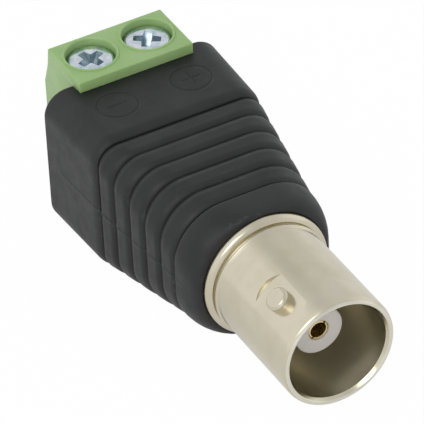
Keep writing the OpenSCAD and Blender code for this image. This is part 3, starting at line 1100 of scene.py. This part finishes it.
        # Painted highlight: the mouth's rim is painted paler.
        self.wardrobe.part_finish(shell, PAINTED_RIM_HIGHLIGHT, self.on_rim)
        self.wardrobe.dress(contact, GOLD)
        self.wardrobe.dress(insulator, WHITE)
        return [
            hand_over(shell, FIXED_BODY, ["jack_shell"]),
            hand_over(upper, FIXED_BODY, ["bayonet_pin_upper"]),
            hand_over(lower, FIXED_BODY, ["bayonet_pin_lower"]),
            hand_over(contact, FIXED_BODY, ["centre_contact"]),
            hand_over(insulator, FIXED_BODY, ["front_insulator"]),
        ]


# The terminal block


@dataclass
class TerminalBlock:
    """The green block with its wells, wire entries, bars, cages and clamp screws."""

    wardrobe: Wardrobe
    pitch: float = 5.08
    top: float = 7.55
    foot: float = -2.45
    front_y: float = 31.2
    step_y: float = 32.25
    lip_y: float = 31.6
    body_top: float = 6.55
    wall_foot: float = 5.25
    rear_y: float = 38.1
    screw_y: float = 34.6
    well_r: float = 2.05
    rim_w: float = 0.24
    rim_h: float = 0.1
    ledge_z: float = 5.35
    ledge_hole_r: float = 1.62
    chamber_w: float = 4.15
    chamber_d: float = 3.9
    chamber_foot: float = -1.45
    chamber_top: float = 4.6
    cage_w: float = 3.95
    cage_d: float = 3.6
    cage_h: float = 4.2
    cage_foot_z: float = -1.4
    cage_foot_t: float = 0.6
    cage_top_t: float = 1.2
    window_w: float = 3.05
    cross_reach: float = 1.3
    cross_edge: float = 0.15
    bar_z: float = 0.95
    bar_t: float = 0.6
    bar_w: float = 2.6
    bar_front_y: float = 30.0
    bar_rear_y: float = 37.0
    shoulder_w: float = 4.6
    shoulder_y: float = 31.5
    shoulder_l: float = 0.9
    tail_w: float = 1.0
    tail_foot: float = -3.4
    entry_w: float = 3.1
    entry_flare: float = 0.35
    thread_r: float = 1.48
    thread_pitch: float = 0.5
    thread_depth: float = 0.28
    screw_tip_z: float = 1.65
    head_r: float = 1.88
    head_h: float = 1.8

    def middle(self, side: Side) -> float:
        """Gives the X of a pole."""
        return side.value * self.pitch / 2

    def housing(self) -> bpy.types.Object:
        """Moulds the block: its profile, rims, wells, chambers and wire entries."""
        outline = soft_corners(
            [
                (self.front_y, self.foot, 0.1),
                (self.front_y, self.wall_foot, 0.1),
                (self.step_y, self.wall_foot, 0.0),
                (self.step_y, self.body_top, 0.0),
                (self.lip_y, self.body_top, 0.08),
                (self.lip_y, self.top, 0.14),
                (37.1, self.top, 0.12),
                (37.35, 5.9, 0.3),
                (self.rear_y, 3.9, 0.3),
                (self.rear_y, self.foot, 0.15),
            ],
            3,
        )
        half = self.pitch
        housing = extruded("green_block", outline, -half, half)
        ease_edges(housing, 0.07, 2, 60)
        rims = [self.rim(side) for side in Side]
        combine(housing, rims, "UNION")
        for side in Side:
            combine(housing, self.pole_cuts(side), "DIFFERENCE")
        shade(housing, Edges.MOULDED)
        return housing

    def rim(self, side: Side) -> bpy.types.Object:
        """Makes the low rim round a well."""
        outer = self.well_r + self.rim_w
        profile = soft_corners(
            [
                (0.0, self.top - 0.5, 0.0),
                (outer + 0.06, self.top - 0.5, 0.0),
                (outer, self.top + self.rim_h, 0.07),
                (0.0, self.top + self.rim_h, 0.0),
            ]
        )
        return upright("rim", profile, self.middle(side), self.screw_y)

    def pole_cuts(self, side: Side) -> list[bpy.types.Object]:
        """Makes the solids that are cut out for one pole.

        Args:
            side: The pole.

        Returns:
            The well, the chamber, the bar's slots and the wire entry.
        """
        x = self.middle(side)
        rim_top = self.top + self.rim_h
        inner_y = self.screw_y + self.chamber_d / 2
        well = soft_corners(
            [
                (0.0, self.chamber_top - 0.5, 0.0),
                (self.ledge_hole_r, self.chamber_top - 0.5, 0.0),
                (self.ledge_hole_r, self.ledge_z, 0.0),
                (self.well_r, self.ledge_z, 0.0),
                (self.well_r, rim_top - 0.09, 0.05),
                (self.well_r + 0.12, rim_top + 0.03, 0.0),
                (self.well_r + 0.12, rim_top + 1, 0.0),
                (0.0, rim_top + 1, 0.0),
            ]
        )
        flare = self.entry_flare
        low = self.cage_foot_z + self.cage_foot_t
        half = self.entry_w / 2
        inner = [(x - half, low), (x + half, low), (x + half, self.bar_z), (x - half, self.bar_z)]
        outer = [
            (x - half - flare, low - flare),
            (x + half + flare, low - flare),
            (x + half + flare, self.bar_z),
            (x - half - flare, self.bar_z),
        ]
        points = [(px, inner_y - 0.2, pz) for px, pz in inner]
        points += [(px, self.rear_y + 0.1, pz) for px, pz in outer]
        faces = [[i, (i + 1) % 4, 4 + (i + 1) % 4, 4 + i] for i in range(4)]
        faces += [[0, 1, 2, 3], [4, 5, 6, 7]]
        bar_top = self.bar_z + self.bar_t
        return [
            upright("cut_well", well, x, self.screw_y),
            block(
                "cut_chamber",
                (x - self.chamber_w / 2, self.front_y - 1, self.chamber_foot),
                (x + self.chamber_w / 2, inner_y, self.chamber_top),
            ),
            block(
                "cut_shoulder",
                (x - self.shoulder_w / 2, self.front_y - 1, self.bar_z),
                (x + self.shoulder_w / 2, self.shoulder_y + self.shoulder_l, bar_top),
            ),
            block(
                "cut_bar_end",
                (x - self.bar_w / 2, inner_y - 0.5, self.bar_z),
                (x + self.bar_w / 2, self.bar_rear_y, bar_top),
            ),
            link_mesh("cut_entry", points, faces),
        ]

    def bar(self, side: Side, name: str) -> bpy.types.Object:
        """Stamps a contact bar with its shoulders and its bent tail."""
        x = self.middle(side)
        top = self.bar_z + self.bar_t
        bend = self.bar_front_y
        outline = soft_corners(
            [
                (bend, self.tail_foot, 0.1),
                (bend, top, 0.35),
                (self.bar_rear_y, top, 0.1),
                (self.bar_rear_y, self.bar_z, 0.1),
                (bend + self.bar_t, self.bar_z, 0.1),
                (bend + self.bar_t, self.tail_foot, 0.1),
            ]
        )
        bar = extruded(name, outline, x - self.bar_w / 2, x + self.bar_w / 2)
        spare = (self.bar_w - self.tail_w) / 2
        trims = []
        for low in (x - self.bar_w / 2 - 1, x + self.tail_w / 2):
            trims.append(
                block(
                    "cut_tail",
                    (low, bend - 1, self.tail_foot - 1),
                    (low + spare + 1, bend + self.bar_t + 0.5, self.bar_z - 0.01),
                )
            )
        combine(bar, trims, "DIFFERENCE")
        shoulder = block(
            "shoulder",
            (x - self.shoulder_w / 2, self.shoulder_y, self.bar_z),
            (x + self.shoulder_w / 2, self.shoulder_y + self.shoulder_l, top),
        )
        combine(bar, [shoulder], "UNION")
        ease_edges(bar, 0.05)
        shade(bar, Edges.MOULDED)
        return bar

    def cage(self, side: Side, name: str) -> bpy.types.Object:
        """Folds a clamp cage: a square tube with a tapped top."""
        x, y = self.middle(side), self.screw_y
        low, high = self.cage_foot_z, self.cage_foot_z + self.cage_h
        cage = block(
            name,
            (x - self.cage_w / 2, y - self.cage_d / 2, low),
            (x + self.cage_w / 2, y + self.cage_d / 2, high),
        )
        window = block(
            "cut_window",
            (x - self.window_w / 2, y - self.cage_d, low + self.cage_foot_t),
            (x + self.window_w / 2, y + self.cage_d, high - self.cage_top_t),
        )
        combine(cage, [window], "DIFFERENCE")
        ease_edges(cage, 0.12, 3)
        hole_r = self.thread_r + 0.04
        lead = 0.12
        hole = [
            (0, high - self.cage_top_t - 0.3),
            (hole_r, high - self.cage_top_t - 0.3),
            (hole_r, high - lead),
            (hole_r + lead * 2, high + lead),
            (0, high + lead),
        ]
        combine(cage, [upright("cut_tapping", hole, x, y)], "DIFFERENCE")
        shade(cage, Edges.MOULDED)
        return cage

    def thread(self, side: Side) -> bpy.types.Object:
        """Cuts a screw's shank with a true helical thread, up into its head."""
        x, y = self.middle(side), self.screw_y
        segments, per_turn = 48, 10
        top = self.ledge_z + 0.3
        rows = int((top - self.screw_tip_z) / self.thread_pitch * per_turn)
        points: list[Spot] = []
        for row in range(rows + 1):
            z = blend(self.screw_tip_z, top, row / rows)
            lead = 1 - smooth_step(0.0, 0.45, z - self.screw_tip_z)
            for step in range(segments):
                turn = step / segments
                phase = (z / self.thread_pitch - turn) % 1.0
                flank = smooth_step(0.08, 0.5, min(phase, 1 - phase) * 1.1)
                radius = self.thread_r - self.thread_depth * max(1 - flank, lead)
                angle = math.tau * turn
                points.append((x + radius * math.cos(angle), y + radius * math.sin(angle), z))
        faces = []
        for row in range(rows):
            for step in range(segments):
                after = (step + 1) % segments
                low, high = row * segments, (row + 1) * segments
                faces.append([low + step, low + after, high + after, high + step])
        faces.append(list(range(segments)))
        faces.append(list(range(rows * segments, (rows + 1) * segments)))
        return link_mesh("shank", points, faces)

    def cross_cutter(self, side: Side, turn: float) -> bpy.types.Object:
        """Makes the tapered cross that is pressed into a screw's head.

        Args:
            side: The pole.
            turn: How far the cross is turned, in degrees.

        Returns:
            A solid with four wings that narrow towards its foot.
        """
        top = self.ledge_z + self.head_h
        levels = [(top + 0.3, 1.22, 0.37), (top - 0.05, 1.12, 0.33), (top - 0.95, 0.42, 0.2), (top - 1.2, 0.1, 0.05)]
        points: list[Spot] = []
        for z, reach, half in levels:
            for quarter in range(4):
                for along, across in ((reach, -half), (reach, half), (half * 1.25, half * 1.25)):
                    angle = math.radians(90 * quarter + turn)
                    points.append(
                        (
                            self.middle(side) + along * math.cos(angle) - across * math.sin(angle),
                            self.screw_y + along * math.sin(angle) + across * math.cos(angle),
                            z,
                        )
                    )
        count = 12
        faces = []
        for level in range(len(levels) - 1):
            for step in range(count):
                after = (step + 1) % count
                low, high = level * count, (level + 1) * count
                faces.append([low + step, low + after, high + after, high + step])
        faces.append(list(range(count)))
        last = (len(levels) - 1) * count
        faces.append(list(range(last, last + count)))
        return link_mesh("cut_cross", points, faces)

    def screw(self, side: Side, name: str, turn: float) -> bpy.types.Object:
        """Heads a clamp screw, presses its cross and joins its threaded shank.

        Args:
            side: The pole.
            name: The piece's name.
            turn: How far its cross is turned, in degrees.

        Returns:
            The screw.
        """
        low, high = self.ledge_z, self.ledge_z + self.head_h
        head_profile = soft_corners(
            [
                (0.0, low, 0.0),
                (self.head_r, low, 0.06),
                (self.head_r, high - 0.16, 0.08),
                (self.head_r - 0.14, high - 0.05, 0.12),
                (self.head_r * 0.5, high - 0.01, 0.3),
                (0.0, high, 0.0),
            ]
        )
        screw = upright(name, head_profile, self.middle(side), self.screw_y)
        combine(screw, [self.cross_cutter(side, turn)], "DIFFERENCE")
        ease_edges(screw, 0.045, 2, 30)
        combine(screw, [self.thread(side)], "UNION")
        shade(screw, Edges.MOULDED)
        return screw

    def in_cross(self, side: Side) -> Callable[[Vector], bool]:
        """Gives the test for a place on the walls or floor of a screw's cross.

        Args:
            side: The pole.

        Returns:
            The test, of a place in millimetres.
        """
        high = self.ledge_z + self.head_h

        def test(spot: Vector) -> bool:
            """Tells whether a place is below the head's top and near the screw's axis."""
            off_axis = math.hypot(spot.x - self.middle(side), spot.y - self.screw_y)
            return off_axis < self.cross_reach and self.ledge_z < spot.z < high - self.cross_edge

        return test

    def build(self) -> list[bpy.types.Object]:
        """Builds and dresses the block's pieces."""
        housing = self.housing()
        self.wardrobe.dress(housing, GREEN)
        made = [hand_over(housing, FIXED_BODY, ["terminal_housing"])]
        for side, turn in ((Side.LEFT, 20.0), (Side.RIGHT, 55.0)):
            word = side.name.lower()
            bar = self.bar(side, f"{word}_bar")
            self.wardrobe.dress(bar, TIN)
            made.append(hand_over(bar, FIXED_BODY, [f"contact_bar_{word}"]))
            cage = self.cage(side, f"{word}_clamp_cage")
            self.wardrobe.dress(cage, ZINC)
            made.append(hand_over(cage, f"{word}_cage", [f"cage_{word}"]))
            screw = self.screw(side, f"{word}_clamp_screw", turn)
            self.wardrobe.dress(screw, ZINC)
            # Painted shade on the walls and floor of the screw's cross.
            self.wardrobe.part_finish(screw, PAINTED_RECESS_SHADE, self.in_cross(side))
            made.append(hand_over(screw, f"{word}_screw", [f"screw_{word}"]))
        return made


# The hidden pieces


@dataclass
class InnerPieces:
    """The pieces inside the body, which keep their own solids and only get a finish."""

    wardrobe: Wardrobe

    def build(self) -> None:
        """Dresses each hidden solid."""
        finishes = {
            "rear_insulator": WHITE,
            "retaining_bush": NICKEL,
            "ground_tag": TIN,
            "ground_link": TIN,
            "signal_link": TIN,
            "link_sleeve": RED,
        }
        for node, finish in finishes.items():
            self.wardrobe.dress(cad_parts[node], finish)
            log.info("%s is dressed in %s", node, finish.name)


# The studio


@dataclass
class Studio:
    """A white table under soft light, and the photograph's viewpoint."""

    azimuth: float = -27.087
    elevation: float = 37.858
    roll: float = -3.068
    distance: float = 350.76
    aim_right: float = -9.653
    aim_up: float = 10.659
    focal_pixels: float = 4662.6
    picture_pixels: float = 424.0
    sensor: float = 36.0
    tent: float = 0.71
    panel_gain: float = 0.27
    right_gain: float = 0.3
    strip_gain: float = 0.8
    seam_loss: float = 0.1
    white_seen: float = 0.985
    white_mirrored: float = 0.45
    white_sheen: float = 0.25

    def camera(self) -> bpy.types.Object:
        """Sets up the camera from the angles and distance of the photograph."""
        across, up = math.radians(self.azimuth), math.radians(self.elevation)
        back = Vector(
            (math.sin(across) * math.cos(up), -math.cos(across) * math.cos(up), math.sin(up))
        )
        level_right = (-back).cross(Vector((0, 0, 1))).normalized()
        level_up = level_right.cross(-back)
        tilt = math.radians(self.roll)
        right = level_right * math.cos(tilt) + level_up * math.sin(tilt)
        upward = level_up * math.cos(tilt) - level_right * math.sin(tilt)
        place = right * self.aim_right + upward * self.aim_up + back * self.distance
        data = bpy.data.cameras.new("camera")
        data.sensor_width = self.sensor
        data.lens = self.focal_pixels / self.picture_pixels * self.sensor
        data.clip_start, data.clip_end = 0.01, 5.0
        camera = bpy.data.objects.new("camera", data)
        bpy.context.scene.collection.objects.link(camera)
        turn = Matrix((right, upward, back)).transposed().to_4x4()
        camera.matrix_world = Matrix.Translation(place * MM) @ turn
        bpy.context.scene.camera = camera
        return camera

    def step(
        self, tree: bpy.types.NodeTree, operation: str, first: object, second: object
    ) -> bpy.types.NodeSocket:
        """Works out one step of arithmetic in a node tree.

        Args:
            tree: The tree that gets the node.
            operation: The step, such as ADD or MULTIPLY.
            first: A socket or a number.
            second: A socket or a number.

        Returns:
            The result.
        """
        node = tree.nodes.new("ShaderNodeMath")
        node.operation = operation
        for socket, value in zip(node.inputs, (first, second)):
            if isinstance(value, bpy.types.NodeSocket):
                tree.links.new(value, socket)
            else:
                socket.default_value = value
        return node.outputs["Value"]

    def rise(
        self, tree: bpy.types.NodeTree, value: object, low: float, high: float, top: float
    ) -> bpy.types.NodeSocket:
        """Rises smoothly from 0 where a value is low to top where it is high."""
        node = tree.nodes.new("ShaderNodeMapRange")
        node.interpolation_type = "SMOOTHSTEP"
        tree.links.new(value, node.inputs["Value"])
        node.inputs["From Min"].default_value = low
        node.inputs["From Max"].default_value = high
        node.inputs["To Min"].default_value = 0.0
        node.inputs["To Max"].default_value = top
        return node.outputs["Result"]

    def world(self) -> None:
        """Hangs a pale tent all round, whitest on the left, which the camera sees as white."""
        world = bpy.data.worlds.new("studio")
        world.use_nodes = True
        tree = world.node_tree
        tree.nodes.clear()
        output = tree.nodes.new("ShaderNodeOutputWorld")
        way = tree.nodes.new("ShaderNodeTexCoord")
        parts = tree.nodes.new("ShaderNodeSeparateXYZ")
        tree.links.new(way.outputs["Generated"], parts.inputs[0])
        right = parts.outputs["X"]
        left = self.step(tree, "MULTIPLY", right, -1.0)
        panel = self.rise(tree, left, 0.04, 0.38, self.panel_gain)
        off_seam = self.step(tree, "ABSOLUTE", self.step(tree, "SUBTRACT", right, 0.12), 0.0)
        seam = self.rise(tree, off_seam, 0.0, 0.3, self.seam_loss)
        right_panel = self.rise(tree, right, 0.6, 0.92, self.right_gain)
        panels = self.step(tree, "ADD", panel, right_panel)
        strip = self.rise(tree, parts.outputs["Y"], 0.84, 0.94, self.strip_gain)
        panels = self.step(tree, "ADD", panels, strip)
        level = self.step(tree, "ADD", self.tent - self.seam_loss, self.step(tree, "ADD", panels, seam))
        path = tree.nodes.new("ShaderNodeLightPath")
        seen = self.step(tree, "MAXIMUM", path.outputs["Is Camera Ray"], path.outputs["Is Transmission Ray"])
        tent = tree.nodes.new("ShaderNodeBackground")
        tent.inputs["Color"].default_value = (0.985, 0.99, 1.0, 1)
        tree.links.new(level, tent.inputs["Strength"])
        white = tree.nodes.new("ShaderNodeBackground")
        white.inputs["Color"].default_value = (1, 1, 1, 1)
        sheen = self.step(tree, "MULTIPLY", path.outputs["Is Glossy Ray"], self.white_sheen)
        mixer = tree.nodes.new("ShaderNodeMixShader")
        tree.links.new(self.step(tree, "MAXIMUM", seen, sheen), mixer.inputs[0])
        tree.links.new(tent.outputs[0], mixer.inputs[1])
        tree.links.new(white.outputs[0], mixer.inputs[2])
        tree.links.new(mixer.outputs[0], output.inputs["Surface"])
        bpy.context.scene.world = world

    def floor(self) -> bpy.types.Object:
        """Lays the white table under the part."""
        low = cad_box[0].z
        half = 0.6
        corners = [(-half, -half, low), (half, -half, low), (half, half, low), (-half, half, low)]
        table = link_mesh("table", [(x / MM, y / MM, z / MM) for x, y, z in corners], [[0, 1, 2, 3]])
        material = bpy.data.materials.new("white_table")
        material.use_nodes = True
        tree = material.node_tree
        tree.nodes.clear()
        output = tree.nodes.new("ShaderNodeOutputMaterial")
        matt = tree.nodes.new("ShaderNodeBsdfDiffuse")
        matt.inputs["Color"].default_value = (0.8, 0.8, 0.8, 1)
        white = tree.nodes.new("ShaderNodeEmission")
        white.inputs["Strength"].default_value = 1.0
        path = tree.nodes.new("ShaderNodeLightPath")
        seen = self.step(tree, "MAXIMUM", path.outputs["Is Camera Ray"], path.outputs["Is Transmission Ray"])
        share = self.step(
            tree,
            "ADD",
            self.step(tree, "MULTIPLY", seen, self.white_seen),
            self.step(tree, "MULTIPLY", path.outputs["Is Glossy Ray"], self.white_mirrored),
        )
        mixer = tree.nodes.new("ShaderNodeMixShader")
        tree.links.new(share, mixer.inputs[0])
        tree.links.new(matt.outputs[0], mixer.inputs[1])
        tree.links.new(white.outputs[0], mixer.inputs[2])
        tree.links.new(mixer.outputs[0], output.inputs["Surface"])
        table.data.materials.append(material)
        return table

    def lamp(self, name: str, place: Spot, size: float, power: float, tint: Spot) -> None:
        """Hangs a square soft lamp that faces the part.

        Args:
            name: The lamp's name.
            place: Where it hangs, in millimetres.
            size: Its side, in millimetres.
            power: Its power in watts.
            tint: Its colour.
        """
        data = bpy.data.lights.new(name, "AREA")
        data.size = size * MM
        data.energy = power
        data.color = tint
        lamp = bpy.data.objects.new(name, data)
        bpy.context.scene.collection.objects.link(lamp)
        target = Vector((0, 19, 0)) * MM
        spot = Vector(place) * MM
        lamp.location = spot
        lamp.rotation_euler = (target - spot).to_track_quat("-Z", "Y").to_euler()

    def build(self) -> None:
        """Sets up the view settings, camera, world, table and lamps."""
        bpy.context.scene.view_settings.view_transform = "Standard"
        self.camera()
        self.world()
        self.floor()
        self.lamp("key", (-260, -200, 330), 300, 0.4, (1.0, 0.985, 0.96))


def main() -> None:
    """Builds the studio and the part's pieces in order, and reports each."""
    logging.basicConfig(level=logging.INFO, format="%(message)s")
    Studio().build()
    wardrobe = Wardrobe()
    for assembly in (MouldedBody(wardrobe), Jack(wardrobe), TerminalBlock(wardrobe)):
        for piece in assembly.build():
            log.info("%s has %d faces", piece.name, len(piece.data.polygons))
    InnerPieces(wardrobe).build()


if __name__ == "__main__":
    main()
